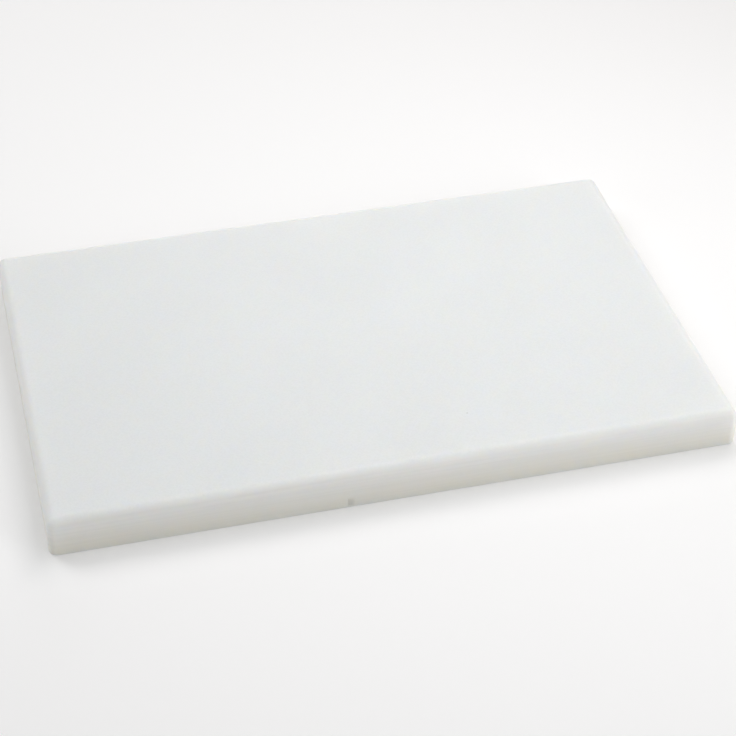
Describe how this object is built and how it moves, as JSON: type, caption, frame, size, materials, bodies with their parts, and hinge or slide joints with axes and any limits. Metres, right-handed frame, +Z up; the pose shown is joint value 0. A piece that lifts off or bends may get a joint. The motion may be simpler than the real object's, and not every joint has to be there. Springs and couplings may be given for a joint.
{
  "type": "cutting board",
  "caption": "Thick rectangular cutting board of white polyethylene with rounded corners and edges, lying flat.",
  "frame": {"origin": "middle of the underside, where the board rests on the worktop", "axes": "+X along the board's long side, +Y across it, +Z up through its thickness to the cutting face"},
  "size_m": [0.5, 0.32, 0.03],
  "materials": {
    "polyethylene": "milky white, satin, with a fine pressed grain on both faces and planed sides"
  },
  "bodies": {
    "root": {"board": "polyethylene"}
  },
  "joints": []
}
